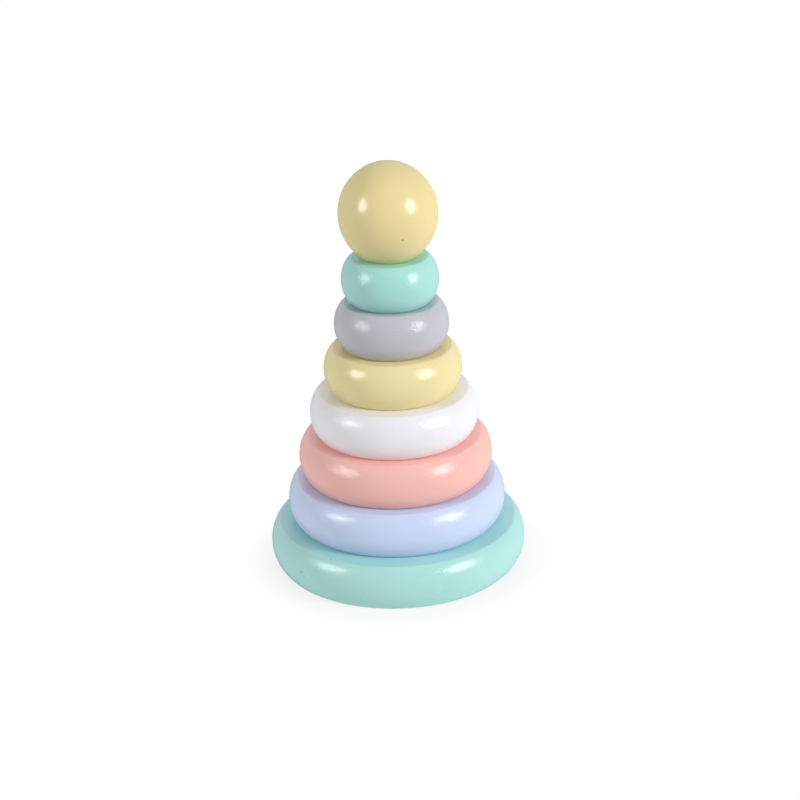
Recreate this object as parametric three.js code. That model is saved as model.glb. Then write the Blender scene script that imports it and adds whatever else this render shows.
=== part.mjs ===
// Wooden ring stacker: a turned base with a post glued into it, six loose rings in falling sizes
// and a ball that caps the post. Millimetres, +Z up, origin at the centre of the base's underside.
// Every piece is a turning about the post's axis.
import * as THREE from "three";

// Stock thickness of the discs
const baseThickness = 20;
const ringThickness = 20;

// Diameters at the widest line of each rim
const baseDiameter = 112;
const lilacDiameter = 95;
const coralDiameter = 84;
const whiteDiameter = 73;
const yellowDiameter = 59.5;
const greyDiameter = 49;
const mintDiameter = 41.5;

// Crowned rim, cut to the same shape on the base and on every ring
const rimBulge = 4.2; // how far the widest line stands out past the edge of a flat face
const rimDepth = 8.5; // half width of the ellipse that the rim follows
const edgeSoftening = 0.8; // length sanded off each side of the edge between face and rim

// Post
const postDiameter = 12;
const postInBase = 14; // length glued into the base
const postInBall = 16; // length that stands above the top ring
const postTipHeight = 5; // height of the domed tip
const postFootChamfer = 1;

// Ball, a little taller than wide, with a flat foot that sits on the top ring
const ballOverhang = 0.5; // how much wider the ball is than the ring that it sits on
const ballTurnedHeight = 44; // height of the whole ball before its foot is cut flat
const ballFootDiameter = 22.5;
const ballFootSoftening = 0.6;
const drillPointAngle = 118; // degrees, the cone that a twist drill leaves at the end of the socket

// Fits
const glueGap = 0.3; // around and under the post in the base
const borePlay = 1.5; // between the post and the bores of the rings and the ball, on the radius
const tipRoom = 1; // between the post's tip and the end of the straight socket
const boreRounding = 1.5; // radius of the rounded mouths of a ring's bore
const holeChamfer = 0.8; // at the mouths of the two blind holes

// Facets
const facetLength = 5; // length of one facet around a piece
const fewestFacets = 24;
const rimSteps = 8;
const ballSteps = 6; // below the ball's widest line, and again above it
const roundingSteps = 3;
const softeningSteps = 2;

// Finishes
const satinPaint = 0.38; // roughness of the paint on the discs
const glossierPaint = 0.3; // roughness of the paint on the ball
const bareWood = 0.6;

// Measures that follow from the sizes above
const ballWidth = mintDiameter + ballOverhang;
const postRadius = postDiameter / 2;
const boreRadius = postRadius + borePlay; // one drill for the rings and the ball
const rimEdgeAngle = Math.acos(1 - rimBulge / rimDepth);

const rings = [
  { name: "lilac_ring", diameter: lilacDiameter, color: "#c5d3f0" },
  { name: "coral_ring", diameter: coralDiameter, color: "#efb9b1" },
  { name: "white_ring", diameter: whiteDiameter, color: "#ebeaec" },
  { name: "yellow_ring", diameter: yellowDiameter, color: "#e6d8a2" },
  { name: "grey_ring", diameter: greyDiameter, color: "#bdbec7" },
  { name: "mint_ring", diameter: mintDiameter, color: "#a8dbd7" },
];
const ringStackHeight = rings.length * ringThickness;

// Points along part of an ellipse in the half plane of a profile, where x is radius and y is height.
function arc(centreX, centreY, radiusX, radiusY, startAngle, endAngle, steps) {
  const curve = new THREE.EllipseCurve(centreX, centreY, radiusX, radiusY, startAngle, endAngle);
  return curve.getPoints(steps);
}

// Points of a sanded edge that bends from one point to another around a sharp corner.
function softened(from, corner, to) {
  return new THREE.QuadraticBezierCurve(from, corner, to).getPoints(softeningSteps);
}

// The crowned rim of a disc, from its lower flat face up to its upper one.
function rimProfile(diameter, thickness) {
  const middle = thickness / 2;
  const rimHeight = middle / Math.sin(rimEdgeAngle);
  const faceRadius = diameter / 2 - rimBulge;
  const slopeX = rimDepth * Math.sin(rimEdgeAngle);
  const slopeY = rimHeight * Math.cos(rimEdgeAngle);
  const softAngle = rimEdgeAngle - edgeSoftening / Math.hypot(slopeX, slopeY);
  const side = arc(diameter / 2 - rimDepth, middle, rimDepth, rimHeight, -softAngle, softAngle, rimSteps);
  const lowerFace = new THREE.Vector2(faceRadius - edgeSoftening, 0);
  const lowerCorner = new THREE.Vector2(faceRadius, 0);
  const upperFace = new THREE.Vector2(faceRadius - edgeSoftening, thickness);
  const upperCorner = new THREE.Vector2(faceRadius, thickness);
  return [
    ...softened(lowerFace, lowerCorner, side[0]),
    ...side.slice(1, -1),
    ...softened(side[rimSteps], upperCorner, upperFace),
  ];
}

// A ring with flat faces, a crowned rim and a bore whose mouths are rounded over.
function ringProfile(diameter) {
  const rim = rimProfile(diameter, ringThickness);
  const mouthX = boreRadius + boreRounding;
  const upperY = ringThickness - boreRounding;
  return [
    ...rim,
    ...arc(mouthX, upperY, boreRounding, boreRounding, 0.5 * Math.PI, Math.PI, roundingSteps),
    ...arc(mouthX, boreRounding, boreRounding, boreRounding, Math.PI, 1.5 * Math.PI, roundingSteps),
    rim[0].clone(),
  ];
}

// The base, with the blind hole that the post is glued into.
function baseProfile() {
  const holeRadius = postRadius + glueGap;
  const holeFloor = baseThickness - postInBase - glueGap;
  return [
    new THREE.Vector2(0, 0),
    ...rimProfile(baseDiameter, baseThickness),
    new THREE.Vector2(holeRadius + holeChamfer, baseThickness),
    new THREE.Vector2(holeRadius, baseThickness - holeChamfer),
    new THREE.Vector2(holeRadius, holeFloor),
    new THREE.Vector2(0, holeFloor),
  ];
}

// The post, standing on its chamfered foot, with a domed tip.
function postProfile() {
  const length = postInBase + ringStackHeight + postInBall;
  const tipStart = length - postTipHeight;
  return [
    new THREE.Vector2(0, 0),
    new THREE.Vector2(postRadius - postFootChamfer, 0),
    new THREE.Vector2(postRadius, postFootChamfer),
    ...arc(0, tipStart, postRadius, postTipHeight, 0, 0.5 * Math.PI, 2 * roundingSteps),
  ];
}

// The ball, standing on its flat foot, with a drilled socket for the post's tip.
function ballProfile() {
  const halfWidth = ballWidth / 2;
  const halfHeight = ballTurnedHeight / 2;
  const footRadius = ballFootDiameter / 2;
  const footAngle = -Math.acos(footRadius / halfWidth);
  const centreY = -halfHeight * Math.sin(footAngle);
  const slopeX = halfWidth * Math.sin(footAngle);
  const slopeY = halfHeight * Math.cos(footAngle);
  const softAngle = footAngle + ballFootSoftening / Math.hypot(slopeX, slopeY);
  const belly = arc(0, centreY, halfWidth, halfHeight, softAngle, 0, ballSteps);
  const crown = arc(0, centreY, halfWidth, halfHeight, 0, 0.5 * Math.PI, ballSteps);
  const footEdge = new THREE.Vector2(footRadius - ballFootSoftening, 0);
  const footCorner = new THREE.Vector2(footRadius, 0);
  const socketDepth = postInBall + tipRoom;
  const drillPoint = boreRadius / Math.tan(THREE.MathUtils.degToRad(drillPointAngle / 2));
  return [
    new THREE.Vector2(0, socketDepth + drillPoint),
    new THREE.Vector2(boreRadius, socketDepth),
    new THREE.Vector2(boreRadius, holeChamfer),
    new THREE.Vector2(boreRadius + holeChamfer, 0),
    ...softened(footEdge, footCorner, belly[0]),
    ...belly.slice(1),
    ...crown.slice(1),
  ];
}

// Turn a profile about Z. The number of facets is a multiple of four, so that
// the piece reaches its full diameter along both X and Y.
function turned(profile, diameter) {
  const wanted = 4 * Math.round((Math.PI * diameter) / facetLength / 4);
  const facets = Math.max(fewestFacets, wanted);
  return new THREE.LatheGeometry(profile, facets).rotateX(Math.PI / 2);
}

function piece(name, geometry, height, color, roughness) {
  const material = new THREE.MeshStandardMaterial({ color, roughness, metalness: 0 });
  const mesh = new THREE.Mesh(geometry, material);
  mesh.name = name;
  mesh.position.z = height;
  return mesh;
}

const stacker = new THREE.Group();
stacker.name = "ring_stacker";

const base = turned(baseProfile(), baseDiameter);
const post = turned(postProfile(), postDiameter);
const ball = turned(ballProfile(), ballWidth);
stacker.add(piece("base", base, 0, "#a8dad6", satinPaint));
stacker.add(piece("post", post, baseThickness - postInBase, "#d9b98c", bareWood));

// The rings stand face to face on the base, largest first, and the ball stands on the last one.
rings.forEach((ring, index) => {
  const height = baseThickness + index * ringThickness;
  const geometry = turned(ringProfile(ring.diameter), ring.diameter);
  stacker.add(piece(ring.name, geometry, height, ring.color, satinPaint));
});
stacker.add(piece("ball", ball, baseThickness + ringStackHeight, "#e7dba7", glossierPaint));

export default stacker;
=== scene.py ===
import math

import bmesh
import bpy
from mathutils import Matrix, Vector


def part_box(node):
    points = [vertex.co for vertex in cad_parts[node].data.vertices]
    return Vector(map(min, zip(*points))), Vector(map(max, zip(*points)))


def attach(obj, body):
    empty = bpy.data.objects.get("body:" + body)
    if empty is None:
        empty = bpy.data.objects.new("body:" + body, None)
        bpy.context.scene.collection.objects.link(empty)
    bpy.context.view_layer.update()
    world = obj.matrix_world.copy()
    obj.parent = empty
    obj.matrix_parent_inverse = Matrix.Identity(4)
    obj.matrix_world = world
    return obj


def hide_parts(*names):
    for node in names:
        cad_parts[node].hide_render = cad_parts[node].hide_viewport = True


# Painted wooden ring stacker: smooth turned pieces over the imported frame, in soft studio light
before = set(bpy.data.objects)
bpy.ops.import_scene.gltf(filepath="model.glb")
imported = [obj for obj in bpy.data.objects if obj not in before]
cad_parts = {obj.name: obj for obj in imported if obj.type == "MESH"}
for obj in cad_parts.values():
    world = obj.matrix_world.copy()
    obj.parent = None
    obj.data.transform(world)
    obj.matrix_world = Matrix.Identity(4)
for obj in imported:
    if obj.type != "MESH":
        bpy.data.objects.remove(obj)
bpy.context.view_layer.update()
mm = 0.001


# Turned shapes. A profile is a list of (radius, height) points along the section of a piece

turning = {
    "rimBulge": 4.2 * mm,  # widest line past the edge of the flat faces
    "rimDepth": 8.5 * mm,  # half width of the ellipse that the rim follows
    "edgeRound": 0.45 * mm,  # sanded edge between the upper face and the rim
    "footRelief": 1.3 * mm,  # the lower face starts to lift this far inside its edge
    "footRound": 0.8 * mm,
    "boreRadius": 7.5 * mm,
    "boreRound": 1.5 * mm,  # rounded mouths of the bores
    "holeChamfer": 0.8 * mm,  # mouths of the blind holes
    "rimSteps": 28,
    "roundSteps": 6,
    "flatSteps": 5,
    "boreSteps": 8,
    "around": 144,
    "weldReach": 0.001 * mm,  # points nearer than this become one
    "edgeReach": 1.6 * mm,  # how far edge wear spreads from an edge
    "boreSlack": 0.01 * mm,  # a point this near the bore's radius still counts as inside it
    "bareFrom": 1.5 * mm,  # bare wood starts to show this deep in a bore
    "bareFull": 7 * mm,  # and from here on there is no paint
}


def arcPoints(centreR, centreZ, radiusR, radiusZ, fromAngle, toAngle, steps):
    angles = [fromAngle + (toAngle - fromAngle) * i / steps for i in range(steps + 1)]
    return [(centreR + radiusR * math.cos(a), centreZ + radiusZ * math.sin(a)) for a in angles]


def bentEdge(start, corner, end, steps):
    # a curve that leaves start towards the corner and arrives at end from it
    points = []
    for i in range(steps + 1):
        t = i / steps
        weights = ((1 - t) ** 2, 2 * t * (1 - t), t ** 2)
        points.append(tuple(sum(w * p[k] for w, p in zip(weights, (start, corner, end))) for k in (0, 1)))
    return points


def flatRun(start, end, steps):
    # loops crowd towards both ends, so that the smooth shading stays flat in between
    points = []
    for i in range(1, steps):
        t = 0.5 - 0.5 * math.cos(math.pi * i / steps)
        points.append(tuple(a + (b - a) * t for a, b in zip(start, end)))
    return points


def rimPoints(radius, low, high):
    half = (high - low) / 2
    middle = (high + low) / 2
    edgeAngle = math.acos(1 - turning["rimBulge"] / turning["rimDepth"])
    rimHeight = half / math.sin(edgeAngle)
    slope = math.hypot(turning["rimDepth"] * math.sin(edgeAngle), rimHeight * math.cos(edgeAngle))
    lowAngle = turning["footRound"] / slope - edgeAngle
    highAngle = edgeAngle - turning["edgeRound"] / slope
    side = arcPoints(radius - turning["rimDepth"], middle, turning["rimDepth"], rimHeight,
                     lowAngle, highAngle, turning["rimSteps"])
    faceRadius = radius - turning["rimBulge"]
    lowFace = (faceRadius - turning["footRelief"], low)
    highFace = (faceRadius - turning["edgeRound"], high)
    lowEdge = bentEdge(lowFace, (faceRadius, low), side[0], turning["roundSteps"])
    highEdge = bentEdge(side[-1], (faceRadius, high), highFace, turning["roundSteps"])
    return lowEdge + side[1:-1] + highEdge


def smoothStep(low, high, value):
    t = min(1, max(0, (value - low) / (high - low)))
    return t * t * (3 - 2 * t)


def turnPiece(name, profile, corners=(), boreMouths=(), boreTop=0):
    # each point carries how near it is to a worn edge, and how bare its wood is
    bm = bmesh.new()
    edgeLayer = bm.verts.layers.float.new("edge")
    bareLayer = bm.verts.layers.float.new("bare")
    verts = []
    for radius, height in profile:
        v = bm.verts.new((radius, 0, height))
        nearest = min((math.dist((radius, height), c) for c in corners), default=1)
        v[edgeLayer] = max(0, 1 - nearest / turning["edgeReach"])
        inBore = radius <= turning["boreRadius"] + turning["boreSlack"] and height <= boreTop
        depth = min((abs(height - m) for m in boreMouths), default=0)
        v[bareLayer] = smoothStep(turning["bareFrom"], turning["bareFull"], depth) if inBore else 0
        verts.append(v)
    edges = [bm.edges.new(pair) for pair in zip(verts, verts[1:])]
    if profile[0][0] > 0:
        edges.append(bm.edges.new((verts[-1], verts[0])))  # a ring's profile closes on itself
    bmesh.ops.spin(bm, geom=verts + edges, axis=(0, 0, 1), cent=(0, 0, 0),
                   angle=2 * math.pi, steps=turning["around"], use_merge=True)
    bmesh.ops.remove_doubles(bm, verts=bm.verts, dist=turning["weldReach"])
    bmesh.ops.recalc_face_normals(bm, faces=bm.faces)
    for face in bm.faces:
        face.smooth = True
    mesh = bpy.data.meshes.new(name)
    bm.to_mesh(mesh)
    bm.free()
    piece = bpy.data.objects.new(name, mesh)
    bpy.context.scene.collection.objects.link(piece)
    return piece


def standIn(piece, node, body, material):
    piece.data.materials.append(material)
    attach(piece, body)
    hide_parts(node)


# Small helpers for node trees

def addNode(tree, kind, inputs=None, **settings):
    node = tree.nodes.new("ShaderNode" + kind)
    for name, value in settings.items():
        setattr(node, name, value)
    for name, value in (inputs or {}).items():
        if isinstance(value, bpy.types.NodeSocket):
            tree.links.new(value, node.inputs[name])
        else:
            node.inputs[name].default_value = value
    return node


def calc(tree, operation, a, b=0.0, c=0.0):
    return addNode(tree, "Math", {0: a, 1: b, 2: c}, operation=operation).outputs[0]


def remap(tree, value, fromLow, fromHigh, toLow, toHigh):
    return addNode(tree, "MapRange", {"Value": value, "From Min": fromLow, "From Max": fromHigh,
                                      "To Min": toLow, "To Max": toHigh}).outputs["Result"]


def mixColour(tree, factor, a, b):
    return addNode(tree, "Mix", {0: factor, 6: a, 7: b}, data_type="RGBA").outputs[2]


def mixValue(tree, factor, a, b):
    return addNode(tree, "Mix", {0: factor, 2: a, 3: b}, data_type="FLOAT").outputs[0]


def noise(tree, vector, size, detail, roughness=0.5):
    # size is the width of a patch in metres
    node = addNode(tree, "TexNoise", {"Vector": vector, "Scale": 1 / size, "Detail": detail,
                                      "Roughness": roughness})
    return node.outputs["Fac"]


def stretched(tree, vector, share):
    # patches come out longer along X by one over share
    return addNode(tree, "VectorMath", {0: vector, 1: (share, 1, 1)}, operation="MULTIPLY").outputs[0]


def grainSpace(tree, coords, given):
    # X runs along the grain, and each piece is cut from another place in the wood
    turned = addNode(tree, "VectorRotate", {"Vector": coords, "Rotation": given["Grain Turn"]},
                     rotation_type="EULER_XYZ").outputs["Vector"]
    return addNode(tree, "VectorMath", {0: turned, 1: given["Seed"]}, operation="ADD").outputs[0]


def addBump(tree, shader, height, distance):
    bump = addNode(tree, "Bump", {"Height": height, "Distance": distance, "Strength": 1})
    tree.links.new(bump.outputs["Normal"], shader.inputs["Normal"])


def newGroup(name, inputs, outputs):
    tree = bpy.data.node_groups.new(name, "ShaderNodeTree")
    for label, kind in inputs:
        tree.interface.new_socket(name=label, in_out="INPUT", socket_type="NodeSocket" + kind)
    for label, kind in outputs:
        tree.interface.new_socket(name=label, in_out="OUTPUT", socket_type="NodeSocket" + kind)
    given = tree.nodes.new("NodeGroupInput").outputs
    result = tree.nodes.new("NodeGroupOutput").inputs
    return tree, given, result


def fromHex(text):
    # a screen colour as Blender's linear one
    parts = [int(text[i:i + 2], 16) / 255 for i in (1, 3, 5)]
    return tuple(p / 12.92 if p <= 0.04045 else ((p + 0.055) / 1.055) ** 2.4 for p in parts) + (1.0,)


white = (1, 1, 1, 1)


# Paint film over sanded beech: fine orange peel, grain that shows through, soft mottle, small marks.
# A range is the part of a noise, around its mean, that is used

paintLook = {
    "peelSize": 0.6 * mm,
    "peelDetail": 1.5,
    "poreWidth": 0.4 * mm,
    "poreStretch": 0.07,
    "poreDetail": 2.5,
    "poreRoughness": 0.6,
    "poreMean": 0.5,
    "poreRange": (0.35, 0.7),
    "mottleSize": 22 * mm,
    "mottleDetail": 1,
    "mottleRange": (0.3, 0.7),
    "mottle": 0.008,  # how far the mottle lightens or darkens the paint
    "glossSpread": 0.03,  # and how far it changes the roughness
    "edgeLighter": 0.05,  # thinner paint on the edges
    "edgeDuller": 0.08,
    "gloss": 0.5,
    "glossFade": (0.3, 0.8),  # the gloss fades out between these, from facing (0) to grazing (1)
    "pinholeSize": 0.42 * mm,
    "pinholeStrength": 1,
    "pinholeColour": "#4a3a24",
    "speckSize": 0.34 * mm,
    "speckStrength": 0.6,
    "markCore": 0.5,  # share of a mark's radius that has its full strength
    "markHeight": -0.08,  # in millimetres
    "noMark": (0, 0, -100),  # a mark that a piece lacks goes far below it, where there is no surface
    "bareRagged": 0.9,  # how far the pores break up the end of the overspray
    "bareRange": (0.35, 0.65),
}


def spot(tree, coords, place, size, strength):
    away = addNode(tree, "VectorMath", {0: coords, 1: place}, operation="DISTANCE").outputs["Value"]
    return remap(tree, away, size, paintLook["markCore"] * size, 0, strength)


def makePaintFilm():
    tree, given, result = newGroup(
        "paintFilm",
        [("Paint", "Color"), ("Roughness", "Float"), ("Peel Height", "Float"), ("Pore Height", "Float"),
         ("Grain Turn", "Vector"), ("Seed", "Float"), ("Pinhole", "Vector"), ("Speck", "Vector"),
         ("Nick", "Vector")],
        [("Color", "Color"), ("Roughness", "Float"), ("Height", "Float"), ("Bare", "Float")],
    )
    coords = addNode(tree, "TexCoord").outputs["Object"]
    grain = grainSpace(tree, coords, given)
    peel = noise(tree, grain, paintLook["peelSize"], paintLook["peelDetail"])
    pores = noise(tree, stretched(tree, grain, paintLook["poreStretch"]), paintLook["poreWidth"],
                  paintLook["poreDetail"], paintLook["poreRoughness"])
    mottle = noise(tree, grain, paintLook["mottleSize"], paintLook["mottleDetail"])
    edge = addNode(tree, "Attribute", attribute_name="edge").outputs["Fac"]
    bare = addNode(tree, "Attribute", attribute_name="bare").outputs["Fac"]

    # colour: mottle, thinner paint on the edges, then the marks
    lightness = remap(tree, mottle, *paintLook["mottleRange"],
                      1 - paintLook["mottle"], 1 + paintLook["mottle"])
    lively = addNode(tree, "HueSaturation", {"Value": lightness, "Color": given["Paint"]}).outputs["Color"]
    lighter = remap(tree, pores, *paintLook["poreRange"], 0, paintLook["edgeLighter"])
    worn = mixColour(tree, calc(tree, "MULTIPLY", edge, lighter), lively, white)
    pinhole = spot(tree, coords, given["Pinhole"], paintLook["pinholeSize"], paintLook["pinholeStrength"])
    speck = spot(tree, coords, given["Speck"], paintLook["speckSize"], paintLook["speckStrength"])
    nick = spot(tree, coords, given["Nick"], paintLook["speckSize"], paintLook["speckStrength"])
    hole = calc(tree, "MAXIMUM", pinhole, calc(tree, "MAXIMUM", speck, nick))
    tree.links.new(mixColour(tree, hole, worn, fromHex(paintLook["pinholeColour"])), result["Color"])

    # gloss: a little duller where the mottle is light and on the edges
    spread = remap(tree, mottle, *paintLook["mottleRange"],
                   -paintLook["glossSpread"], paintLook["glossSpread"])
    dull = calc(tree, "MULTIPLY_ADD", edge, paintLook["edgeDuller"], spread)
    tree.links.new(calc(tree, "ADD", given["Roughness"], dull), result["Roughness"])

    # height in millimetres
    peeled = calc(tree, "MULTIPLY", peel, given["Peel Height"])
    grained = calc(tree, "MULTIPLY_ADD", pores, given["Pore Height"], peeled)
    tree.links.new(calc(tree, "MULTIPLY_ADD", hole, paintLook["markHeight"], grained), result["Height"])

    # overspray breaks up along the grain on its way into a bore
    centred = calc(tree, "SUBTRACT", pores, paintLook["poreMean"])
    ragged = calc(tree, "MULTIPLY_ADD", centred, paintLook["bareRagged"], bare)
    tree.links.new(remap(tree, ragged, *paintLook["bareRange"], 0, 1), result["Bare"])
    return tree


# Bare beech: pale straight grain with short dark ray flecks. Heights are in millimetres

beechLook = {
    "pale": "#e3c59b",
    "dark": "#c79e6c",
    "fleck": "#9a6f42",
    "fibreWidth": 0.9 * mm,
    "fibreStretch": 0.025,
    "fibreDetail": 4,
    "fibreRoughness": 0.6,
    "fibreRange": (0.3, 0.7),
    "fibreShare": 0.5,  # of the tone
    "fibreHeight": 0.04,
    "growthWidth": 5 * mm,  # broad bands of yearly growth
    "growthStretch": 0.01,
    "growthDetail": 2,
    "growthShare": 0.6,
    "toneRange": (0.4, 0.72),  # from pale to dark wood
    "fleckWidth": 0.45 * mm,
    "fleckStretch": 0.16,
    "fleckDetail": 1,
    "fleckRange": (0.66, 0.74),
    "fleckStrength": 0.55,
    "fleckHeight": -0.03,
    "roughness": (0.5, 0.66),
}


def makeBeech():
    tree, given, result = newGroup(
        "bareBeech",
        [("Grain Turn", "Vector"), ("Seed", "Float")],
        [("Color", "Color"), ("Roughness", "Float"), ("Height", "Float")],
    )
    grain = grainSpace(tree, addNode(tree, "TexCoord").outputs["Object"], given)
    fibre = noise(tree, stretched(tree, grain, beechLook["fibreStretch"]), beechLook["fibreWidth"],
                  beechLook["fibreDetail"], beechLook["fibreRoughness"])
    rays = noise(tree, stretched(tree, grain, beechLook["fleckStretch"]), beechLook["fleckWidth"],
                 beechLook["fleckDetail"])
    growth = noise(tree, stretched(tree, grain, beechLook["growthStretch"]), beechLook["growthWidth"],
                   beechLook["growthDetail"])
    fibreTone = calc(tree, "MULTIPLY", fibre, beechLook["fibreShare"])
    tone = calc(tree, "MULTIPLY_ADD", growth, beechLook["growthShare"], fibreTone)
    darkness = remap(tree, tone, *beechLook["toneRange"], 0, 1)
    wood = mixColour(tree, darkness, fromHex(beechLook["pale"]), fromHex(beechLook["dark"]))
    fleck = remap(tree, rays, *beechLook["fleckRange"], 0, beechLook["fleckStrength"])
    roughness = remap(tree, fibre, *beechLook["fibreRange"], *beechLook["roughness"])
    raised = calc(tree, "MULTIPLY", fibre, beechLook["fibreHeight"])
    height = calc(tree, "MULTIPLY_ADD", fleck, beechLook["fleckHeight"], raised)
    tree.links.new(mixColour(tree, fleck, wood, fromHex(beechLook["fleck"])), result["Color"])
    tree.links.new(roughness, result["Roughness"])
    tree.links.new(height, result["Height"])
    return tree


paintFilm = makePaintFilm()
beechWood = makeBeech()
print("shader groups made:", paintFilm.name, beechWood.name)


def newMaterial(name):
    material = bpy.data.materials.new(name)
    material.use_nodes = True
    return material, material.node_tree, material.node_tree.nodes["Principled BSDF"]


def placeGroup(tree, group, values):
    node = tree.nodes.new("ShaderNodeGroup")
    node.node_tree = group
    for name, value in values.items():
        node.inputs[name].default_value = value
    return node.outputs


def markPlace(piece, mark):
    # marks are written in millimetres
    return [c * mm for c in piece.get(mark, paintLook["noMark"])]


def makePaint(name, piece):
    # painted outside, bare beech where the overspray runs out inside a bore
    material, tree, shader = newMaterial(name)
    grainTurn = (0, 0, math.radians(piece["grainTurn"]))
    film = placeGroup(tree, paintFilm, {
        "Paint": fromHex(piece["paint"]), "Roughness": piece["roughness"], "Seed": piece["seed"],
        "Peel Height": piece["peel"], "Pore Height": piece["pores"], "Grain Turn": grainTurn,
        "Pinhole": markPlace(piece, "pinhole"), "Speck": markPlace(piece, "speck"),
        "Nick": markPlace(piece, "nick"),
    })
    wood = placeGroup(tree, beechWood, {"Grain Turn": grainTurn, "Seed": piece["seed"]})
    colour = mixColour(tree, film["Bare"], film["Color"], wood["Color"])
    roughness = mixValue(tree, film["Bare"], film["Roughness"], wood["Roughness"])
    # no gloss at grazing angles, where the softboxes would wash out the outlines
    facing = addNode(tree, "LayerWeight").outputs["Facing"]
    gloss = remap(tree, facing, *paintLook["glossFade"], paintLook["gloss"], 0)
    tree.links.new(colour, shader.inputs["Base Color"])
    tree.links.new(roughness, shader.inputs["Roughness"])
    tree.links.new(gloss, shader.inputs["Specular IOR Level"])
    addBump(tree, shader, mixValue(tree, film["Bare"], film["Height"], wood["Height"]), mm)
    return material


# Base: a disc with a blind hole for the post

base = {
    "paint": "#acdeda", "roughness": 0.16, "peel": 0.12, "pores": 0.006,
    "grainTurn": 12, "seed": 0.31, "pinhole": (-41.9, -37.07, 11.31), "speck": (-40.54, -38.64, 10.06),
    "nick": (-28.85, -43.17, 19.9),
    "holeRadius": 6.3 * mm, "holeFloor": 5.7 * mm, "undersideSteps": 6,
}


def makeBase():
    low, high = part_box("base")
    radius = high.x
    rim = rimPoints(radius, low.z, high.z)
    mouth = (base["holeRadius"] + turning["holeChamfer"], high.z)
    profile = [(0, low.z)] + flatRun((0, low.z), rim[0], base["undersideSteps"]) + rim
    profile += flatRun(rim[-1], mouth, turning["flatSteps"]) + [mouth]
    profile += [(base["holeRadius"], high.z - turning["holeChamfer"])]
    profile += [(base["holeRadius"], base["holeFloor"]), (0, base["holeFloor"])]
    faceRadius = radius - turning["rimBulge"]
    piece = turnPiece("turned_base", profile, [(faceRadius, low.z), (faceRadius, high.z)])
    standIn(piece, "base", "stand", makePaint("mintTealPaint", base))
    return piece


# Post: a beech dowel with a domed tip

post = {"chamfer": 1 * mm, "tipHeight": 5 * mm, "shaftSteps": 12, "tipSteps": 14, "seed": 0.77}


def makePost():
    low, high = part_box("post")
    radius = high.x
    tipStart = high.z - post["tipHeight"]
    profile = [(0, low.z), (radius - post["chamfer"], low.z), (radius, low.z + post["chamfer"])]
    profile += flatRun(profile[-1], (radius, tipStart), post["shaftSteps"])
    profile += arcPoints(0, tipStart, radius, post["tipHeight"], 0, math.pi / 2, post["tipSteps"])
    piece = turnPiece("beech_post", profile)
    material, tree, shader = newMaterial("bareBeechPost")
    alongPost = (0, math.pi / 2, 0)
    wood = placeGroup(tree, beechWood, {"Grain Turn": alongPost, "Seed": post["seed"]})
    tree.links.new(wood["Color"], shader.inputs["Base Color"])
    tree.links.new(wood["Roughness"], shader.inputs["Roughness"])
    addBump(tree, shader, wood["Height"], mm)
    standIn(piece, "post", "stand", material)
    return piece


# Glue line: dried glue in the chamfer between post and base, a little below the base's top

glue = {
    "colour": "#e2cf9c",
    "belowTop": 0.15 * mm,
    "depth": 1.2 * mm,
    "gap": 0.02 * mm,  # keeps its sides off the wood
    "insideMouth": 0.2 * mm,
    "mouthDrop": 0.1 * mm,
    "sagReach": 0.4 * mm,  # the surface sags towards this corner, measured from the post
    "sagDrop": 0.45 * mm,
    "sagSteps": 6,
    "lumpSize": 1.2 * mm,
    "lumpDetail": 2,
    "lumpRange": (0.3, 0.7),
    "lumpHeight": 0.15 * mm,
    "roughness": (0.25, 0.45),
}


def makeGlueLine():
    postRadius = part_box("post")[1].x
    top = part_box("base")[1].z - glue["belowTop"]
    bottom = top - glue["depth"]
    inner = postRadius + glue["gap"]
    outer = base["holeRadius"] - glue["gap"]
    mouth = base["holeRadius"] + turning["holeChamfer"] - glue["insideMouth"]
    sagCorner = (postRadius + glue["sagReach"], top - glue["sagDrop"])
    profile = [(inner, bottom), (outer, bottom), (outer, top - turning["holeChamfer"])]
    profile += bentEdge((mouth, top - glue["mouthDrop"]), sagCorner, (inner, top), glue["sagSteps"])
    piece = turnPiece("glue_line", profile)
    material, tree, shader = newMaterial("driedGlue")
    coords = addNode(tree, "TexCoord").outputs["Object"]
    lumps = noise(tree, coords, glue["lumpSize"], glue["lumpDetail"])
    roughness = remap(tree, lumps, *glue["lumpRange"], *glue["roughness"])
    shader.inputs["Base Color"].default_value = fromHex(glue["colour"])
    tree.links.new(roughness, shader.inputs["Roughness"])
    addBump(tree, shader, lumps, glue["lumpHeight"])
    piece.data.materials.append(material)
    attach(piece, "stand")
    return piece


# Rings, largest first. Each is painted in its own colour and its grain runs its own way

rings = [
    {"node": "lilac_ring", "slot": "lilac_paint", "paint": "#c9d7f5", "roughness": 0.15, "peel": 0.14,
     "pores": 0.006, "grainTurn": 75, "seed": 1.13},
    {"node": "coral_ring", "slot": "coral_paint", "paint": "#f6bcb3", "roughness": 0.1, "peel": 0.15,
     "pores": 0.008, "grainTurn": -20, "seed": 2.21},
    {"node": "white_ring", "slot": "white_paint", "paint": "#eeeef2", "roughness": 0.18, "peel": 0.14,
     "pores": 0.005, "grainTurn": 40, "seed": 3.37},
    {"node": "yellow_ring", "slot": "yellow_paint", "paint": "#eddea5", "roughness": 0.11, "peel": 0.12,
     "pores": 0.006, "grainTurn": 8, "seed": 4.51},
    {"node": "grey_ring", "slot": "grey_paint", "paint": "#bfbfc8", "roughness": 0.18, "peel": 0.15,
     "pores": 0.006, "grainTurn": -60, "seed": 5.71},
    {"node": "mint_ring", "slot": "mint_paint", "paint": "#a6ddd8", "roughness": 0.15, "peel": 0.14,
     "pores": 0.006, "grainTurn": 30, "seed": 6.83},
]


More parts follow.
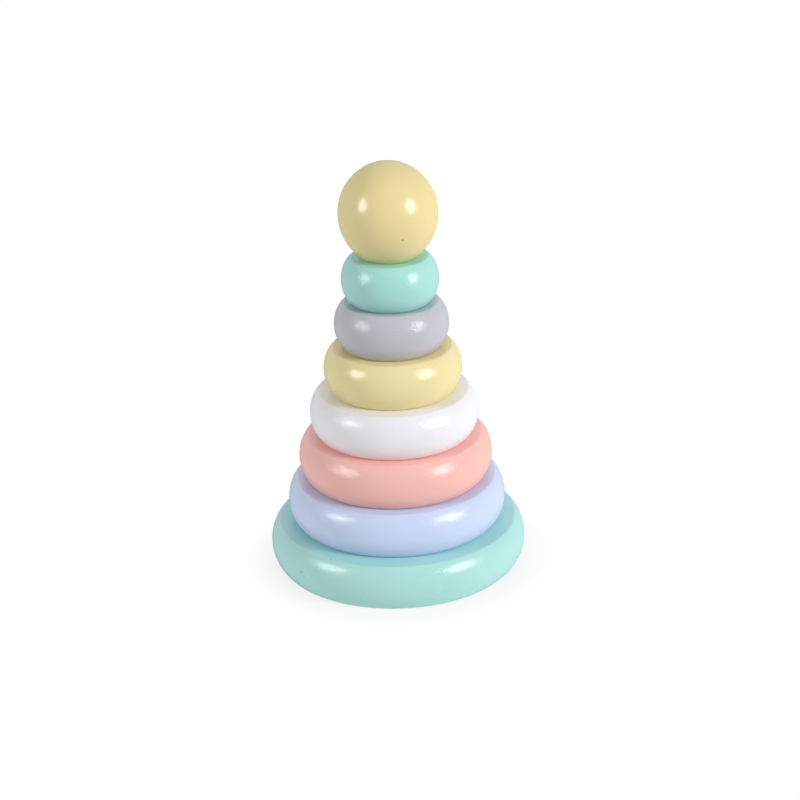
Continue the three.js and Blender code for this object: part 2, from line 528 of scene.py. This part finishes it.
def makeRing(ring):
    low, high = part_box(ring["node"])
    radius = high.x
    bore, rounding = turning["boreRadius"], turning["boreRound"]
    rim = rimPoints(radius, low.z, high.z)
    topMouth = arcPoints(bore + rounding, high.z - rounding, rounding, rounding,
                         math.pi / 2, math.pi, turning["roundSteps"])
    lowMouth = arcPoints(bore + rounding, low.z + rounding, rounding, rounding,
                         math.pi, 1.5 * math.pi, turning["roundSteps"])
    profile = rim + flatRun(rim[-1], topMouth[0], turning["flatSteps"]) + topMouth
    profile += flatRun(topMouth[-1], lowMouth[0], turning["boreSteps"]) + lowMouth
    profile += flatRun(lowMouth[-1], rim[0], turning["flatSteps"])
    faceRadius = radius - turning["rimBulge"]
    halfway = turning["roundSteps"] // 2
    corners = [(faceRadius, low.z), (faceRadius, high.z), topMouth[halfway], lowMouth[halfway]]
    piece = turnPiece("turned_" + ring["node"], profile, corners, (low.z, high.z), high.z)
    standIn(piece, ring["node"], ring["node"], makePaint(ring["slot"], ring))
    return piece


# Ball: turned a little taller than wide, smoother paint, flat foot and a drilled socket

ball = {
    "paint": "#ebd99c", "roughness": 0.19, "peel": 0.08, "pores": 0.002,
    "grainTurn": 55, "seed": 7.93, "pinhole": (5.69, -19.51, 153.03),
    "turnedHeight": 44 * mm, "footRadius": 11.25 * mm, "footRound": 0.6 * mm, "crownSteps": 64,
    "socketDepth": 17 * mm, "drillPoint": 59,  # half the angle of the drill's point
}


def makeBall():
    low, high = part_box("ball")
    halfWidth, halfHeight = high.x, ball["turnedHeight"] / 2
    footAngle = -math.acos(ball["footRadius"] / halfWidth)
    centre = low.z - halfHeight * math.sin(footAngle)
    slope = math.hypot(halfWidth * math.sin(footAngle), halfHeight * math.cos(footAngle))
    softAngle = footAngle + ball["footRound"] / slope
    crown = arcPoints(0, centre, halfWidth, halfHeight, softAngle, math.pi / 2, ball["crownSteps"])
    foot = (ball["footRadius"] - ball["footRound"], low.z)
    bore, chamfer = turning["boreRadius"], turning["holeChamfer"]
    socketTop = low.z + ball["socketDepth"]
    mouth = (bore + chamfer, low.z)
    socketTip = socketTop + bore / math.tan(math.radians(ball["drillPoint"]))
    profile = [(0, socketTip), (bore, socketTop)]
    profile += flatRun((bore, socketTop), (bore, low.z + chamfer), turning["boreSteps"])
    profile += [(bore, low.z + chamfer), mouth]
    profile += bentEdge(foot, (ball["footRadius"], low.z), crown[0], turning["roundSteps"]) + crown[1:]
    piece = turnPiece("turned_ball", profile, [(ball["footRadius"], low.z)], (low.z,), socketTip)
    standIn(piece, "ball", "ball", makePaint("ballPaint", ball))
    return piece


pieces = [makeBase(), makePost(), makeGlueLine()]
for ring in rings:
    pieces.append(makeRing(ring))
pieces.append(makeBall())
print("pieces turned and painted:", len(pieces))


# Floor, world and lamps. Distances are in metres

studio = {
    "floorSize": 6,
    "floorNear": 0.86,  # greys of the floor beside the object and far from it, as the light sees them
    "floorFar": 0.4,
    "floorFade": (0.1, 0.6),
    "nearGlow": 0.77,  # share of the floor's look that is plain white to the camera
    "shadowReach": (0.053, 0.069),  # the floor turns plain white between these distances
    "ambientLeft": 0.03,
    "ambientRight": 0.12,
    "aim": (0, 0, 0.09),
    "bounces": 12,  # light bounces on between the pale rings
}

# turn is in degrees from the camera's side, positive to the right.
# The fill, the ceiling and the walls show no gloss
rightPlace = {"turn": 58.5, "rise": 21, "distance": 2, "size": (0.62, 0.82)}
softboxes = {
    "softboxRight": {**rightPlace, "power": 23.2, "gloss": True},
    "fillRight": {**rightPlace, "power": 7.8, "gloss": False},
    "softboxLeft": {
        "turn": -66, "rise": 22.5, "distance": 2, "size": (0.58, 0.76), "power": 17.4, "gloss": True,
    },
    "ceilingFront": {
        "turn": 8, "rise": 65, "distance": 1.5, "size": (1, 0.8), "power": 3.4, "gloss": False,
    },
    "wallRight": {
        "turn": 105, "rise": 15, "distance": 1.4, "size": (1.2, 1), "power": 1.9, "gloss": False,
    },
    "wallLeft": {
        "turn": -100, "rise": 20, "distance": 1.5, "size": (1, 0.8), "power": 1, "gloss": False,
    },
    "wallBack": {
        "turn": 180, "rise": 25, "distance": 1.5, "size": (1.2, 0.8), "power": 6, "gloss": False,
    },
}


def seenRay(tree):
    # 1 for what the camera sees, directly or in a reflection or through glass
    path = addNode(tree, "LightPath").outputs
    shiny = calc(tree, "MAXIMUM", path["Is Glossy Ray"], path["Is Transmission Ray"])
    return calc(tree, "MAXIMUM", path["Is Camera Ray"], shiny)


def makeFloor():
    mesh = bpy.data.meshes.new("studio_floor")
    bm = bmesh.new()
    bmesh.ops.create_grid(bm, x_segments=1, y_segments=1, size=studio["floorSize"] / 2)
    bm.to_mesh(mesh)
    bm.free()
    floor = bpy.data.objects.new("studio_floor", mesh)
    bpy.context.scene.collection.objects.link(floor)
    material = bpy.data.materials.new("studioFloor")
    material.use_nodes = True
    tree = material.node_tree
    tree.nodes.clear()
    coords = addNode(tree, "TexCoord").outputs["Object"]
    away = addNode(tree, "VectorMath", {0: coords}, operation="LENGTH").outputs["Value"]
    grey = remap(tree, away, *studio["floorFade"], studio["floorNear"], studio["floorFar"])
    matte = addNode(tree, "BsdfDiffuse", {"Color": grey})
    glow = addNode(tree, "Emission", {"Color": white, "Strength": 1})
    glowShare = remap(tree, away, *studio["shadowReach"], studio["nearGlow"], 1)
    share = calc(tree, "MULTIPLY", seenRay(tree), glowShare)
    mixed = addNode(tree, "MixShader", {0: share, 1: matte.outputs[0], 2: glow.outputs[0]})
    addNode(tree, "OutputMaterial", {"Surface": mixed.outputs[0]})
    mesh.materials.append(material)


def makeWorld():
    world = bpy.data.worlds.new("studioWorld")
    bpy.context.scene.world = world
    world.use_nodes = True
    tree = world.node_tree
    tree.nodes.clear()
    direction = addNode(tree, "TexCoord").outputs["Generated"]
    axes = addNode(tree, "SeparateXYZ", {0: direction}).outputs
    ambient = remap(tree, axes["X"], -1, 1, studio["ambientLeft"], studio["ambientRight"])
    strength = mixValue(tree, seenRay(tree), ambient, 1)
    sky = addNode(tree, "Background", {"Color": white, "Strength": strength})
    addNode(tree, "OutputWorld", {"Surface": sky.outputs[0]})


def makeSoftbox(name, box):
    light = bpy.data.lights.new(name, "AREA")
    light.shape = "ELLIPSE"
    light.size, light.size_y = box["size"]
    light.energy = box["power"]
    lamp = bpy.data.objects.new(name, light)
    turn, rise = math.radians(box["turn"]), math.radians(box["rise"])
    outward = Vector((math.sin(turn) * math.cos(rise), -math.cos(turn) * math.cos(rise), math.sin(rise)))
    lamp.location = Vector(studio["aim"]) + box["distance"] * outward
    lamp.rotation_euler = (-outward).to_track_quat("-Z", "Y").to_euler()
    lamp.visible_camera = False
    lamp.visible_glossy = box["gloss"]
    bpy.context.scene.collection.objects.link(lamp)


makeFloor()
makeWorld()
for name, box in softboxes.items():
    makeSoftbox(name, box)
bpy.context.scene.cycles.diffuse_bounces = studio["bounces"]
print("studio lit by", len(softboxes), "softboxes")


# Camera at the photograph's angle

shot = {
    "target": (2.62 * mm, 0, 74 * mm),
    "distance": 861.5 * mm,
    "elevation": 22.93,
    "tilt": 1.79,  # degrees that the picture leans to the left
    "lens": 89.6,
    "sensor": 36,
    "nearClip": 10 * mm,
}


def makeCamera():
    camera = bpy.data.cameras.new("photoCamera")
    camera.sensor_width = shot["sensor"]
    camera.lens = shot["lens"]
    camera.clip_start = shot["nearClip"]
    holder = bpy.data.objects.new("photoCamera", camera)
    up = math.radians(shot["elevation"])
    target = Vector(shot["target"])
    place = target + shot["distance"] * Vector((0, -math.cos(up), math.sin(up)))
    turn = (target - place).to_track_quat("-Z", "Y").to_matrix().to_4x4()
    lean = Matrix.Rotation(-math.radians(shot["tilt"]), 4, "Z")
    holder.matrix_world = Matrix.Translation(place) @ turn @ lean
    bpy.context.scene.collection.objects.link(holder)
    bpy.context.scene.camera = holder


makeCamera()
bpy.context.scene.view_settings.view_transform = "Standard"
print("camera set")
